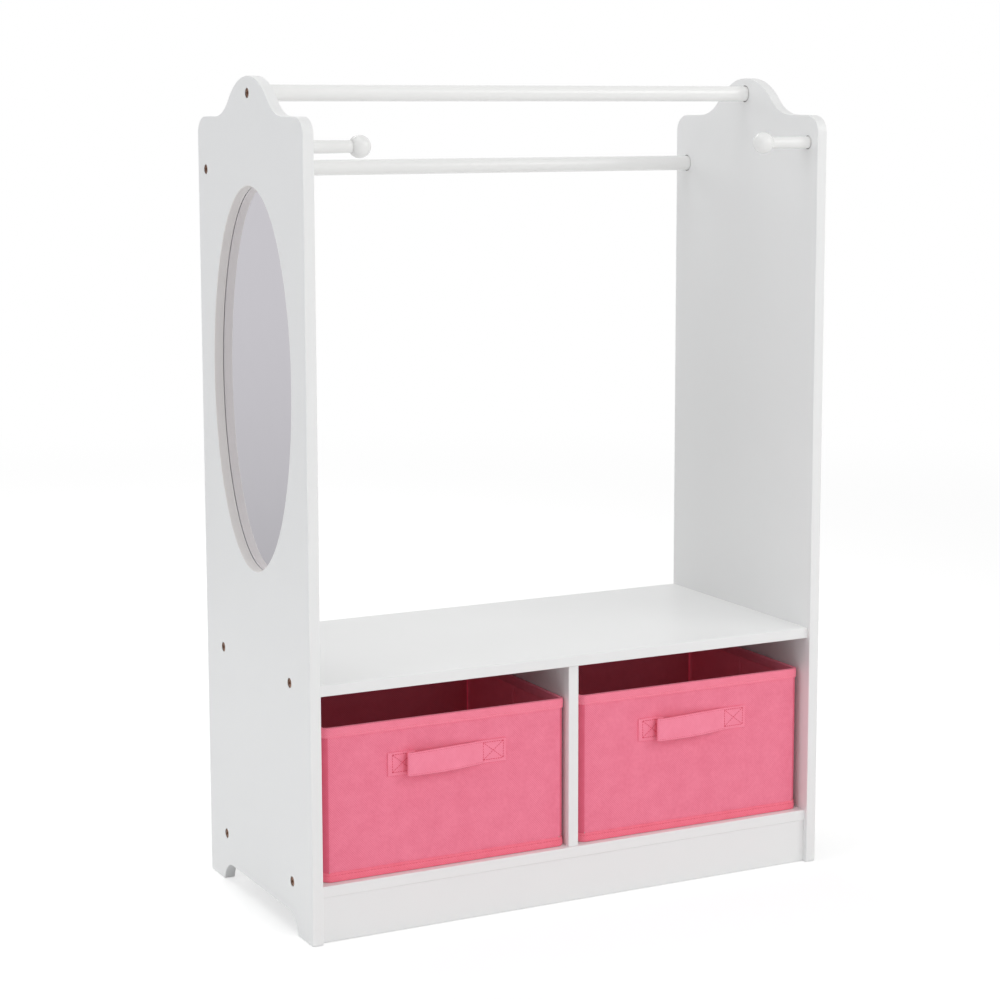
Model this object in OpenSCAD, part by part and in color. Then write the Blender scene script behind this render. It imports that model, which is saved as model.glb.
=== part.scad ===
// Child's dress-up storage unit. Two crowned side panels, the left one with an oval mirror, carry two
// hanging rods, two pegs and a low case with two fabric bins that slide out to the front.
// Millimetres. X to the right, Y to the back, Z up; the origin is on the floor under the middle.

/* [Cabinet] */
// Overall width, over the side panels' outer faces
unit_w = 720; // [620:1:860]
// Overall depth, the depth of the side panels
unit_d = 342; // [310:1:400]
// Overall height, to the top of the crowns
unit_h = 1029; // [990:1:1120]
// Thickness of the painted boards
board_t = 14; // [11:0.5:15]

/* [Side panels] */
// Height of the crown above the shoulders
crown_rise = 48; // [40:1:56]
// Radius of the crown's round top
crown_r = 85; // [78:1:100]
// Radius of the hollow between crown and shoulder
crown_blend_r = 64; // [35:1:75]
// Slope of the shoulders down to the panels' edges, in degrees
shoulder_fall = 0.7; // [0:0.1:3]
// Length of the shoulders' rounded corners along the shoulders
shoulder_corner_w = 24; // [14:1:28]
// Length of the shoulders' rounded corners along the panels' edges
shoulder_corner_h = 21; // [8:1:26]
// Width of each foot on the floor
foot_w = 47; // [38:1:60]
// Radius of the feet's outer bottom corners
foot_r = 3.5; // [1:0.5:6]
// Height of the arch between the feet
arch_h = 25; // [15:1:30]
// Radius of the arch's two ends
arch_r = 30; // [30:1:45]

/* [Mirror] */
// Width of board left beside the oval window
mirror_margin = 45; // [40:1:60]
// Height of the oval window
mirror_h = 470; // [380:1:480]
// Height of the window's centre above the middle between shelf and shoulders
mirror_up = 14; // [0:1:16]
// Thickness of the mirror sheet
mirror_t = 2; // [1.5:0.5:3]
// How far the sheet runs past the window, in its rebate
mirror_lap = 10; // [6:1:12]
// Thickness of the backing board
backing_t = 3; // [2.5:0.5:4]
// How far the backing board runs past the sheet
backing_lap = 16; // [12:1:18]
// Number of screws round the backing board
mirror_screws_n = 8; // [6:2:12]

/* [Case] */
// Height of the top shelf's upper face
shelf_z = 316.5; // [280:0.5:340]
// How far the shelves' front edges stand back from the panels'
shelf_set = 6; // [3:0.5:12]
// How far the plinth stands back from the shelves' front edges
plinth_set = 2; // [0:0.5:6]
// How far the divider stands back from the shelves' front edges
divider_set = 5; // [1:0.5:10]
// Height of the plinth board
plinth_h = 56; // [45:0.5:70]
// Gap between the plinth and the floor, so that the feet carry the load
floor_gap = 0.5; // [0.5:0.5:3]
// Thickness of the back board
back_t = 3; // [2.5:0.5:4]
// How far the back board lies in front of the panels' rear edges
back_inset = 7; // [6:0.5:12]
// Depth of the grooves that hold the back board
groove_depth = 4; // [3:0.5:5]

/* [Rods and pegs] */
// Diameter of the two rods
rod_d = 20; // [18:1:24]
// Depth of the sockets that hold the rods' ends
rod_socket = 4; // [3:0.5:5]
// Distance from the crown's top down to the top rod's axis
top_rod_drop = 20.5; // [18:0.5:30]
// Distance from the shoulders down to the rear rod's axis
rear_rod_drop = 66; // [50:1:110]
// Distance from the panels' rear edges to the rear rod's axis
rear_rod_inset = 26; // [20:0.5:40]
// Diameter of the pegs
peg_d = 16; // [14:0.5:20]
// Distance from the shoulders down to the pegs' axes
peg_drop = 35; // [26:1:50]
// Distance from the panels' front edges to the pegs' axes
peg_inset = 23; // [18:0.5:40]
// Distance from a panel's inner face to the middle of its peg's knob
peg_reach = 67; // [50:1:90]
// Depth of the sockets that hold the pegs
peg_socket = 8; // [6:0.5:9]
// Diameter of the round knobs
knob_d = 27; // [24:0.5:34]
// Diameter of the pegs' tenons inside the knobs
tenon_d = 9; // [7:0.5:11]

/* [Fasteners] */
// Diameter of the bolts' shanks
bolt_d = 6; // [5:0.5:6.5]
// Diameter of the bolts' flat heads
bolt_head_d = 12; // [11:0.5:14]
// Thickness of the bolts' heads
bolt_head_t = 3.5; // [2.5:0.5:3.5]
// Depth of the bolt heads' recesses in the panels' outer faces
head_recess = 4; // [3.5:0.5:4.5]
// Width over the corners of the bolts' hexagon sockets
hex_w = 4.6; // [3.5:0.1:5]
// Distance from a shelf's front and rear edges to its bolts
bolt_inset = 57.5; // [45:0.5:75]
// Diameter of the barrel nuts
barrel_d = 9; // [8:0.5:10]
// Length of the barrel nuts
barrel_len = 9.5; // [8:0.5:10]
// Distance from a shelf's end to its barrel nuts
barrel_inset = 30; // [25:1:40]
// Diameter of the insert nuts in the rods' ends
insert_d = 10; // [9:0.5:12]
// Length of the insert nuts
insert_len = 14; // [10:1:18]
// Diameter of the wooden dowels
dowel_d = 6; // [5:0.5:7]
// Length of the wooden dowels
dowel_len = 24; // [20:1:30]
// Depth to which a dowel stands in the face of a board
dowel_in = 8; // [6:0.5:9]
// Distance along a shelf's end from each bolt to its dowel
dowel_pitch = 32; // [28:1:36]
// Distance between the dowels along the plinth's top edge
plinth_dowel_pitch = 220; // [180:1:260]
// Distance between the two dowels in each end of the plinth
plinth_end_pitch = 28; // [22:1:32]
// Diameter of the wood screws' shanks
screw_d = 4; // [3.5:0.5:4.5]
// Length of the screws that hold the divider
screw_len = 40; // [32:1:50]
// Diameter of the small screws behind the mirror
pin_screw_d = 3; // [2.5:0.5:3.5]
// Length of the small screws' shanks
pin_screw_len = 10.5; // [8:0.5:11]
// Radial play of a bolt, nut, dowel or socket in its hole
hole_play = 0.05; // [0.05:0.01:0.1]
// Radial play of a bolt in the hole of a board
bolt_play = 0.2; // [0.1:0.05:0.4]

/* [Bins] */
// Gap between a bin and the case on each side, with the bin in the middle of its bay
bin_side_gap = 5; // [5:0.5:14]
// How far the left bin stands off the middle of its bay, towards the divider
left_bin_shift = 3; // [0:0.5:4]
// How far a bin stands behind the shelves' front edges
bin_front_gap = 11; // [8:0.5:30]
// Gap between a bin and the back board
bin_rear_gap = 49; // [20:1:80]
// Gap above a bin's rim
bin_top_gap = 42; // [20:1:60]
// Gap under a bin, for sliding
bin_seat_gap = 0.3; // [0.3:0.1:1]
// Radius of a bin's upright corners
bin_corner_r = 7.5; // [7:0.5:14]
// Thickness of the outer fabric
fabric_t = 1; // [0.8:0.1:1.5]
// Thickness of the stiffening boards in the walls
stiff_t = 2; // [1.5:0.1:2.5]
// Thickness of the inner fabric
lining_t = 0.8; // [0.6:0.1:1]
// Thickness of the folded tape round the rim
tape_t = 0.8; // [0.6:0.1:1]
// Height of the tape on the wall
hem_h = 13; // [10:0.5:18]
// Width of the fold half-way along the side walls
fold_gap = 3; // [2:0.5:6]
// Thickness of the loose base board
base_t = 3; // [2:0.5:4]
// Gap between the base board and the walls
base_gap = 1; // [0.5:0.1:2]

/* [Handles] */
// Width of the handle strap
strap_w = 29; // [22:1:36]
// Thickness of the handle strap
strap_t = 1.6; // [1.2:0.1:2.4]
// Length of the strap over its two sewn ends
strap_len = 158; // [140:1:200]
// Length of each sewn end
strap_end = 30; // [24:1:36]
// How far the loop stands off the bin
strap_bow = 12; // [9:0.5:13]
// Distance from the rim down to the middle of the strap
strap_drop = 54.5; // [40:0.5:80]

/* [Hidden] */
$fn = 64;
cut = 1; // how far a cutter runs past a face
half_d = unit_d / 2;
x_out = unit_w / 2;
x_in = x_out - board_t;
shoulder_z = unit_h - crown_rise;

shelf_y0 = -half_d + shelf_set;
bottom_z0 = floor_gap + plinth_h;
bottom_z1 = bottom_z0 + board_t;
top_z0 = shelf_z - board_t;
back_y0 = half_d - back_inset - back_t;
plinth_y0 = shelf_y0 + plinth_set;
plinth_mid_y = plinth_y0 + board_t / 2;

mirror_z = (shelf_z + shoulder_z) / 2 + mirror_up;
mirror_axes = [half_d - mirror_margin, mirror_h / 2];
sheet_axes = mirror_axes + [mirror_lap, mirror_lap];
backing_axes = sheet_axes + [backing_lap, backing_lap];
screw_axes = (sheet_axes + backing_axes) / 2;
mirror_play = 0.2; // round the sheet in its rebate
pin_head = [3 * pin_screw_d / 2 + 2, 2]; // diameter and height of the small screws' heads

// Places on the side panels, as [y, z]
rod_places = [[0, unit_h - top_rod_drop], [half_d - rear_rod_inset, shoulder_z - rear_rod_drop]];
peg_place = [-half_d + peg_inset, shoulder_z - peg_drop];
bolt_ys = [shelf_y0 + bolt_inset, half_d - bolt_inset];
dowel_ys = [bolt_ys[0] + dowel_pitch, bolt_ys[1] - dowel_pitch];
shelf_zs = [bottom_z0, top_z0]; // undersides of the two shelves
plinth_end_zs = [for (s = [-1, 1]) floor_gap + (plinth_h + s * plinth_end_pitch) / 2];
plinth_dowel_xs = [for (s = [-1, 0, 1]) s * plinth_dowel_pitch];

bolt_seat_x = x_out - head_recess;
barrel_x = x_in - barrel_inset;
shelf_bolt_len = bolt_seat_x - barrel_x + barrel_d;
rod_bolt_len = head_recess + insert_len - cut;
rod_end_x = x_in + rod_socket;
screw_head = [2 * screw_d, 0.6 * screw_d]; // diameter and height of the countersunk head

knob_x = x_in - peg_reach;
seat_r = peg_d / 2 + 0.5;
knob_flat = sqrt(knob_d * knob_d / 4 - seat_r * seat_r); // from the knob's middle to the peg's end
tenon_len = 0.85 * knob_flat;

bay_w = x_in - board_t / 2;
bin_w = bay_w - 2 * bin_side_gap;
bin_x = (board_t + bay_w) / 2;
bin_y0 = shelf_y0 + bin_front_gap;
bin_d = back_y0 - bin_rear_gap - bin_y0;
bin_z0 = bottom_z1 + bin_seat_gap;
bin_h = top_z0 - bottom_z1 - bin_top_gap;
wall_top = bin_h - tape_t;
lining_inset = fabric_t + stiff_t;
wall_t = lining_inset + lining_t;
loop_half = strap_len / 2 - strap_end;

function arc(c, r, a0, a1, n) =
    [for (i = [0:n]) let (a = a0 + (a1 - a0) * i / n) c + r * [cos(a), sin(a)]];

// The corner at apex, rounded from one point before it to one point after it.
function eased_corner(apex, from, to, n) =
    let (c = from + to - apex)
    [for (i = [0:n]) let (a = 90 * i / n) c + cos(a) * (from - c) + sin(a) * (to - c)];

function ellipse(axes, n = 96) =
    [for (i = [0:n - 1]) let (a = 360 * i / n) [axes[0] * cos(a), axes[1] * sin(a)]];

// Outline of a side panel in [y, z]: feet, arch, rear edge, shoulder, crown, shoulder, front edge.
function panel_outline() =
    let (
        arch_y = half_d - foot_w - sqrt(arch_r * arch_r - pow(arch_r - arch_h, 2)),
        arch_a = asin((arch_r - arch_h) / arch_r),
        rise = crown_r - crown_rise + crown_blend_r,
        blend_y = sqrt(pow(crown_r + crown_blend_r, 2) - rise * rise),
        blend_z = shoulder_z + crown_blend_r,
        slope = atan2(rise, blend_y),
        hollow_end = [blend_y, blend_z] - crown_blend_r * [sin(shoulder_fall), cos(shoulder_fall)],
        edge_z = hollow_end[1] - (half_d - hollow_end[0]) * tan(shoulder_fall),
        along = shoulder_corner_w * [cos(shoulder_fall), sin(shoulder_fall)],
        down = [0, -shoulder_corner_h]
    )
    concat(
        arc([-half_d + foot_r, foot_r], foot_r, 180, 270, 4),
        arc([-arch_y, arch_h - arch_r], arch_r, 180 - arch_a, 90, 8),
        arc([arch_y, arch_h - arch_r], arch_r, 90, arch_a, 8),
        arc([half_d - foot_r, foot_r], foot_r, 270, 360, 4),
        eased_corner([half_d, edge_z], [half_d, edge_z] + down,
                     [half_d - along[0], edge_z + along[1]], 8),
        arc([blend_y, blend_z], crown_blend_r, 270 - shoulder_fall, 180 + slope, 8),
        arc([0, unit_h - crown_r], crown_r, slope, 180 - slope, 24),
        arc([-blend_y, blend_z], crown_blend_r, -slope, shoulder_fall - 90, 8),
        eased_corner([-half_d, edge_z], [-half_d + along[0], edge_z + along[1]],
                     [-half_d, edge_z] + down, 8)
    );

// Carries a shape drawn in [y, z] along X, from x0, to the thickness t.
module plate_x(x0, t) {
    translate([x0, 0, 0]) rotate([90, 0, 90]) linear_extrude(t) children();
}

module rod_x(x0, x1, place, d) {
    translate([x0, place[0], place[1]]) rotate([0, 90, 0]) cylinder(d = d, h = x1 - x0);
}

module rod_z(x, y, z0, z1, d) {
    translate([x, y, z0]) cylinder(d = d, h = z1 - z0);
}

module both_sides() {
    children();
    mirror([1, 0, 0]) children();
}

// Recess and hole for one bolt through the right-hand panel.
module bolt_hole(place) {
    rod_x(x_in - cut, x_out, place, bolt_d + 2 * bolt_play);
    rod_x(bolt_seat_x, x_out + cut, place, bolt_head_d + 2 * bolt_play);
}

// The right-hand panel; the left one is its mirror image.
module side_panel() {
    difference() {
        plate_x(x_in, board_t) polygon(panel_outline());
        for (p = rod_places) {
            bolt_hole(p);
            rod_x(x_in - cut, rod_end_x, p, rod_d + 2 * bolt_play);
        }
        for (z = shelf_zs, y = bolt_ys) bolt_hole([y, z + board_t / 2]);
        for (z = shelf_zs, y = dowel_ys) dowel_hole_x([y, z + board_t / 2]);
        for (z = plinth_end_zs) dowel_hole_x([plinth_mid_y, z]);
        rod_x(x_in - cut, x_in + peg_socket, peg_place, peg_d + 2 * bolt_play);
        translate([x_in - cut, back_y0 - hole_play, bottom_z1 - groove_depth])
            cube([groove_depth + cut, back_t + 2 * hole_play, top_z0 - bottom_z1 + 2 * groove_depth]);
    }
}

module dowel_hole_x(place) {
    rod_x(x_in - cut, x_in + dowel_in, place, dowel_d + 2 * hole_play);
}

module screw_places() {
    for (i = [0:mirror_screws_n - 1]) {
        a = 360 * (i + 0.5) / mirror_screws_n;
        translate([0, screw_axes[0] * cos(a), mirror_z + screw_axes[1] * sin(a)]) children();
    }
}

module left_side_panel() {
    color("white") difference() {
        mirror([1, 0, 0]) side_panel();
        translate([0, 0, mirror_z]) {
            plate_x(-x_out - cut, board_t + 2 * cut) polygon(ellipse(mirror_axes));
            plate_x(-x_in - mirror_t, mirror_t + cut)
                polygon(ellipse(sheet_axes + [mirror_play, mirror_play]));
        }
        screw_places() rod_x(-x_in - pin_screw_len + backing_t, -x_in + cut, [0, 0],
                             pin_screw_d + 2 * hole_play);
    }
}

module right_side_panel() {
    color("white") side_panel();
}

// One shelf from its underside z0: bores for bolts and barrel nuts, dowel holes in the ends.
module shelf(z0) {
    difference() {
        translate([-x_in, shelf_y0, z0]) cube([2 * x_in, half_d - shelf_y0, board_t]);
        both_sides() for (y = bolt_ys) {
            rod_x(barrel_x - 2 * barrel_d, x_in + cut, [y, z0 + board_t / 2], bolt_d + 2 * bolt_play);
            rod_z(barrel_x, y, z0 - cut, z0 + (board_t + barrel_len) / 2 + hole_play,
                  barrel_d + 2 * hole_play);
        }
        both_sides() for (y = dowel_ys)
            rod_x(x_in + dowel_in - dowel_len, x_in + cut, [y, z0 + board_t / 2],
                  dowel_d + 2 * hole_play);
    }
}

module back_groove(z0) {
    translate([-x_in - cut, back_y0 - hole_play, z0])
        cube([2 * (x_in + cut), back_t + 2 * hole_play, groove_depth + cut]);
}

module top_shelf() {
    color("white") difference() {
        shelf(top_z0);
        back_groove(top_z0 - cut);
        for (y = dowel_ys) rod_z(0, y, top_z0 - cut, top_z0 + dowel_in, dowel_d + 2 * hole_play);
    }
}

module bottom_shelf() {
    color("white") difference() {
        shelf(bottom_z0);
        back_groove(bottom_z1 - groove_depth);
        for (y = dowel_ys) {
            rod_z(0, y, bottom_z0 - cut, bottom_z1 + cut, screw_d + 2 * hole_play);
            translate([0, y, bottom_z0]) cylinder(d1 = screw_head[0] + 2 * hole_play,
                                                  d2 = screw_d + 2 * hole_play, h = screw_head[1]);
        }
        for (x = plinth_dowel_xs)
            rod_z(x, plinth_mid_y, bottom_z0 - cut, bottom_z0 + dowel_in, dowel_d + 2 * hole_play);
    }
}

module centre_divider() {
    color("white") difference() {
        translate([-board_t / 2, shelf_y0 + divider_set, bottom_z1])
            cube([board_t, back_y0 - shelf_y0 - divider_set, top_z0 - bottom_z1]);
        for (y = dowel_ys) {
            rod_z(0, y, top_z0 + dowel_in - dowel_len, top_z0 + cut, dowel_d + 2 * hole_play);
            rod_z(0, y, bottom_z1 - cut, bottom_z0 + screw_len, screw_d + 2 * hole_play);
        }
    }
}

module front_plinth() {
    color("white") difference() {
        translate([-x_in, plinth_y0, floor_gap]) cube([2 * x_in, board_t, plinth_h]);
        for (x = plinth_dowel_xs)
            rod_z(x, plinth_mid_y, bottom_z0 + dowel_in - dowel_len, bottom_z0 + cut,
                  dowel_d + 2 * hole_play);
        both_sides() for (z = plinth_end_zs)
            rod_x(x_in + dowel_in - dowel_len, x_in + cut, [plinth_mid_y, z],
                  dowel_d + 2 * hole_play);
    }
}

module back_board() {
    reach = groove_depth - hole_play;
    color("gainsboro") translate([-x_in - reach, back_y0, bottom_z1 - reach])
        cube([2 * (x_in + reach), back_t, top_z0 - bottom_z1 + 2 * reach]);
}

// A rod between the two panels, bored at each end for its insert nut.
module hanging_rod(place) {
    color("white") difference() {
        rod_x(-rod_end_x, rod_end_x, place, rod_d);
        both_sides() rod_x(rod_end_x - insert_len, rod_end_x + cut, place, insert_d + 2 * hole_play);
    }
}

module top_rod() {
    hanging_rod(rod_places[0]);
}

module rear_rod() {
    hanging_rod(rod_places[1]);
}

// The right-hand peg, with the tenon that its knob is glued to.
module peg() {
    color("white") union() {
        rod_x(knob_x + knob_flat, x_in + peg_socket, peg_place, peg_d);
        rod_x(knob_x + knob_flat - tenon_len, x_in, peg_place, tenon_d);
    }
}

module left_peg() {
    mirror([1, 0, 0]) peg();
}

module right_peg() {
    peg();
}

// The right-hand knob, turned about the peg's axis: a ball with a flat seat and a blind hole.
module knob() {
    color("white") translate([knob_x, peg_place[0], peg_place[1]]) rotate([0, 90, 0])
        rotate_extrude() difference() {
            intersection() {
                circle(d = knob_d);
                translate([0, knob_flat - knob_d]) square(knob_d);
            }
            translate([0, knob_flat - tenon_len - hole_play])
                square([tenon_d / 2 + hole_play, knob_d]);
        }
}

module left_peg_knob() {
    mirror([1, 0, 0]) knob();
}

module right_peg_knob() {
    knob();
}

module mirror_sheet() {
    color("silver") translate([0, 0, mirror_z])
        plate_x(-x_in - mirror_t, mirror_t) polygon(ellipse(sheet_axes));
}

module mirror_backing_board() {
    color("gainsboro") difference() {
        translate([0, 0, mirror_z]) plate_x(-x_in, backing_t) polygon(ellipse(backing_axes));
        screw_places() rod_x(-x_in - cut, -x_in + backing_t + cut, [0, 0],
                             pin_screw_d + 2 * hole_play);
    }
}

module mirror_screws() {
    color("gray") screw_places() {
        rod_x(-x_in + backing_t - pin_screw_len, -x_in + backing_t, [0, 0], pin_screw_d);
        rod_x(-x_in + backing_t, -x_in + backing_t + pin_head[1], [0, 0], pin_head[0]);
    }
}

// A flat-headed bolt in the right-hand panel, with a hexagon socket.
module bolt(place, len) {
    difference() {
        union() {
            rod_x(bolt_seat_x - len, bolt_seat_x, place, bolt_d);
            rod_x(bolt_seat_x, bolt_seat_x + bolt_head_t, place, bolt_head_d);
        }
        translate([bolt_seat_x + bolt_head_t / 2, place[0], place[1]]) rotate([0, 90, 0])
            cylinder(d = hex_w, h = bolt_head_t, $fn = 6);
    }
}

module rod_bolts() {
    color("sienna") both_sides() for (p = rod_places) bolt(p, rod_bolt_len);
}

module shelf_bolts() {
    color("sienna") both_sides() for (z = shelf_zs, y = bolt_ys)
        bolt([y, z + board_t / 2], shelf_bolt_len);
}

module rod_insert_nuts() {
    color("silver") both_sides() for (p = rod_places) difference() {
        rod_x(rod_end_x - insert_len, rod_end_x, p, insert_d);
        rod_x(rod_end_x - insert_len - cut, rod_end_x + cut, p, bolt_d + 2 * hole_play);
    }
}

module barrel_nuts() {
    color("silver") both_sides() for (z = shelf_zs, y = bolt_ys) difference() {
        rod_z(barrel_x, y, z + (board_t - barrel_len) / 2, z + (board_t + barrel_len) / 2, barrel_d);
        rod_x(barrel_x - barrel_d, barrel_x + barrel_d, [y, z + board_t / 2],
              bolt_d + 2 * hole_play);
    }
}

module shelf_dowels() {
    color("burlywood") both_sides() for (z = shelf_zs, y = dowel_ys)
        rod_x(x_in + dowel_in - dowel_len, x_in + dowel_in, [y, z + board_t / 2], dowel_d);
}

module divider_dowels() {
    color("burlywood") for (y = dowel_ys)
        rod_z(0, y, top_z0 + dowel_in - dowel_len, top_z0 + dowel_in, dowel_d);
}

module divider_screws() {
    color("gray") for (y = dowel_ys) {
        rod_z(0, y, bottom_z0, bottom_z0 + screw_len, screw_d);
        translate([0, y, bottom_z0])
            cylinder(d1 = screw_head[0], d2 = screw_d, h = screw_head[1]);
    }
}

module plinth_dowels() {
    color("burlywood") {
        for (x = plinth_dowel_xs)
            rod_z(x, plinth_mid_y, bottom_z0 + dowel_in - dowel_len, bottom_z0 + dowel_in, dowel_d);
        both_sides() for (z = plinth_end_zs)
            rod_x(x_in + dowel_in - dowel_len, x_in + dowel_in, [plinth_mid_y, z], dowel_d);
    }
}

// A bin is drawn with its front face at y = 0, its underside at z = 0 and its middle at x = 0.
// side is -1 for the left-hand bin and 1 for the right-hand one.
module at_bin(side) {
    shift = side < 0 ? left_bin_shift : 0;
    translate([side * bin_x + shift, bin_y0, bin_z0]) children();
}

// The bin's plan, drawn in by inset.
module bin_plan(inset) {
    w = bin_w - 2 * inset;
    d = bin_d - 2 * inset;
    r = bin_corner_r - inset;
    translate([0, bin_d / 2]) {
        square([w - 2 * r, d], center = true);
        square([w, d - 2 * r], center = true);
        for (sx = [-1, 1], sy = [-1, 1])
            translate([sx * (w / 2 - r), sy * (d / 2 - r)]) circle(r = r);
    }
}

module bin_slab(inset, z0, z1) {
    translate([0, 0, z0]) linear_extrude(z1 - z0) bin_plan(inset);
}

module bin_cover() {
    color("hotpink") difference() {
        bin_slab(0, 0, wall_top);
        bin_slab(fabric_t, fabric_t, wall_top + cut);
    }
}

module bin_lining() {
    color("mediumvioletred") difference() {
        bin_slab(lining_inset, fabric_t, wall_top);
        bin_slab(wall_t, fabric_t + lining_t, wall_top + cut);
    }
}

// A wall board across the bin, with its outer face at y.
module cross_board(y) {
    w = bin_w - 2 * bin_corner_r;
    color("tan") translate([-w / 2, y, fabric_t]) cube([w, stiff_t, wall_top - fabric_t]);
}

// A quarter of the side walls: sx is -1 or 1 for the side, sy is -1 or 1 for front or rear.
module side_board(sx, sy) {
    len = (bin_d - fold_gap) / 2 - bin_corner_r;
    mid_x = sx * (bin_w / 2 - fabric_t - stiff_t / 2);
    mid_y = bin_d / 2 + sy * (fold_gap + len) / 2;
    color("tan") translate([mid_x - stiff_t / 2, mid_y - len / 2, fabric_t])
        cube([stiff_t, len, wall_top - fabric_t]);
}

module bin_base_board() {
    z0 = fabric_t + lining_t;
    color("mediumvioletred") bin_slab(wall_t + base_gap, z0, z0 + base_t);
}

// The tape is folded over the rim: an outer leg, the top edge and an inner leg.
module bin_rim_tape() {
    color("hotpink") difference() {
        bin_slab(-tape_t, bin_h - hem_h, bin_h);
        bin_slab(wall_t + tape_t, bin_h - hem_h - cut, bin_h + cut);
        difference() {
            bin_slab(0, bin_h - hem_h - cut, wall_top);
            bin_slab(wall_t, bin_h - hem_h - 2 * cut, wall_top + cut);
        }
    }
}

function loop_off(x) = abs(x) < loop_half ? strap_bow * (1 + cos(180 * x / loop_half)) / 2 : 0;

// The strap in plan: flat sewn ends and a loop that stands off the front.
module bin_handle() {
    steps = 24;
    xs = concat([-strap_len / 2], [for (i = [0:steps]) loop_half * (2 * i / steps - 1)],
                [strap_len / 2]);
    back = [for (x = xs) [x, -loop_off(x)]];
    front = [for (i = [len(xs) - 1:-1:0]) [xs[i], -loop_off(xs[i]) - strap_t]];
    color("hotpink") translate([0, 0, bin_h - strap_drop - strap_w / 2])
        linear_extrude(strap_w) polygon(concat(back, front));
}

left_side_panel();
right_side_panel();
top_shelf();
bottom_shelf();
centre_divider();
front_plinth();
back_board();
top_rod();
rear_rod();
left_peg();
right_peg();
left_peg_knob();
right_peg_knob();
mirror_sheet();
mirror_backing_board();
mirror_screws();
rod_bolts();
rod_insert_nuts();
shelf_bolts();
barrel_nuts();
shelf_dowels();
divider_dowels();
divider_screws();
plinth_dowels();
at_bin(-1) bin_cover();  // left_bin_cover
at_bin(-1) bin_lining();  // left_bin_lining
at_bin(-1) cross_board(fabric_t);  // left_bin_front_board
at_bin(-1) cross_board(bin_d - lining_inset);  // left_bin_back_board
at_bin(-1) side_board(-1, -1);  // left_bin_side_board_1
at_bin(-1) side_board(-1, 1);  // left_bin_side_board_2
at_bin(-1) side_board(1, -1);  // left_bin_side_board_3
at_bin(-1) side_board(1, 1);  // left_bin_side_board_4
at_bin(-1) bin_base_board();  // left_bin_base_board
at_bin(-1) bin_rim_tape();  // left_bin_rim_tape
at_bin(-1) bin_handle();  // left_bin_handle
at_bin(1) bin_cover();  // right_bin_cover
at_bin(1) bin_lining();  // right_bin_lining
at_bin(1) cross_board(fabric_t);  // right_bin_front_board
at_bin(1) cross_board(bin_d - lining_inset);  // right_bin_back_board
at_bin(1) side_board(-1, -1);  // right_bin_side_board_1
at_bin(1) side_board(-1, 1);  // right_bin_side_board_2
at_bin(1) side_board(1, -1);  // right_bin_side_board_3
at_bin(1) side_board(1, 1);  // right_bin_side_board_4
at_bin(1) bin_base_board();  // right_bin_base_board
at_bin(1) bin_rim_tape();  // right_bin_rim_tape
at_bin(1) bin_handle();  // right_bin_handle
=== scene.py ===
import bmesh
import bpy
import numpy as np
from mathutils import Matrix, Vector
from mathutils.geometry import tessellate_polygon


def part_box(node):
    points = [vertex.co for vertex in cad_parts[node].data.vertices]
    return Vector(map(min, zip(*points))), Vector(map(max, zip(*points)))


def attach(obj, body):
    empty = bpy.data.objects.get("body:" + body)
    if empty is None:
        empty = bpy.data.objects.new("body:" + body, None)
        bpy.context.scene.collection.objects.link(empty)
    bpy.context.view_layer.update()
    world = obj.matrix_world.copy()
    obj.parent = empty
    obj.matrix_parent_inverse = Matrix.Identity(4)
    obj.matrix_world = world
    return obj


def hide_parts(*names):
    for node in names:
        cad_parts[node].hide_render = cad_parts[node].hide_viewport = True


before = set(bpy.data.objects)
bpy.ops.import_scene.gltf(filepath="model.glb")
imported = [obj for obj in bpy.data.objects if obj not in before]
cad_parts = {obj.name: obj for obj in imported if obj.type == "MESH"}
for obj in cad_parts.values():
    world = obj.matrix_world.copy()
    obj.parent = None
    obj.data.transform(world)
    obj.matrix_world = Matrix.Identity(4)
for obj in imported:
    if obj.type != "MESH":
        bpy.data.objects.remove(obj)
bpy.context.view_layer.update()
mm = 0.001


# ---- Studio ----
# The camera stands where the photographer's did, to the left of the unit and a little under its top.
# A white room and soft lamps light the unit evenly, and a grey screen on the left shows in the mirror.

camera_place = np.array([-1.41709, -2.71281, 0.98599])
yaw, pitch, roll = np.radians([27.24, 8.04, -0.12])
ahead = np.array([np.sin(yaw) * np.cos(pitch), np.cos(yaw) * np.cos(pitch), -np.sin(pitch)])
level = np.array([np.cos(yaw), -np.sin(yaw), 0.0])
upward = np.cross(level, ahead)
right = level * np.cos(roll) + upward * np.sin(roll)
up = upward * np.cos(roll) - level * np.sin(roll)
camera = bpy.data.objects.new("camera", bpy.data.cameras.new("camera"))
camera.data.lens = 86.29
camera.data.shift_y = -0.05
camera.matrix_world = Matrix([[right[i], up[i], -ahead[i], camera_place[i]] for i in range(3)]
                             + [[0, 0, 0, 1]])
bpy.context.scene.collection.objects.link(camera)
bpy.context.scene.camera = camera
bpy.context.scene.view_settings.view_transform = "Standard"


class Wire:
    """One output of a shader node. Python's operators on it add the Math nodes that they stand for."""

    def __init__(self, nodes, socket):
        self.nodes, self.socket = nodes, socket

    def math(self, operation, first, second=0.0):
        return self.nodes.add("Math", {"operation": operation}, {0: first, 1: second})

    def __add__(self, other):
        return self.math("ADD", self, other)

    def __sub__(self, other):
        return self.math("SUBTRACT", self, other)

    def __rsub__(self, other):
        return self.math("SUBTRACT", other, self)

    def __mul__(self, other):
        return self.math("MULTIPLY", self, other)

    def __pow__(self, other):
        return self.math("POWER", self, other)

    def sine(self):
        return self.math("SINE", self)

    def at_least(self, other):
        return self.math("MAXIMUM", self, other)

    __radd__, __rmul__ = __add__, __mul__


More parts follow.
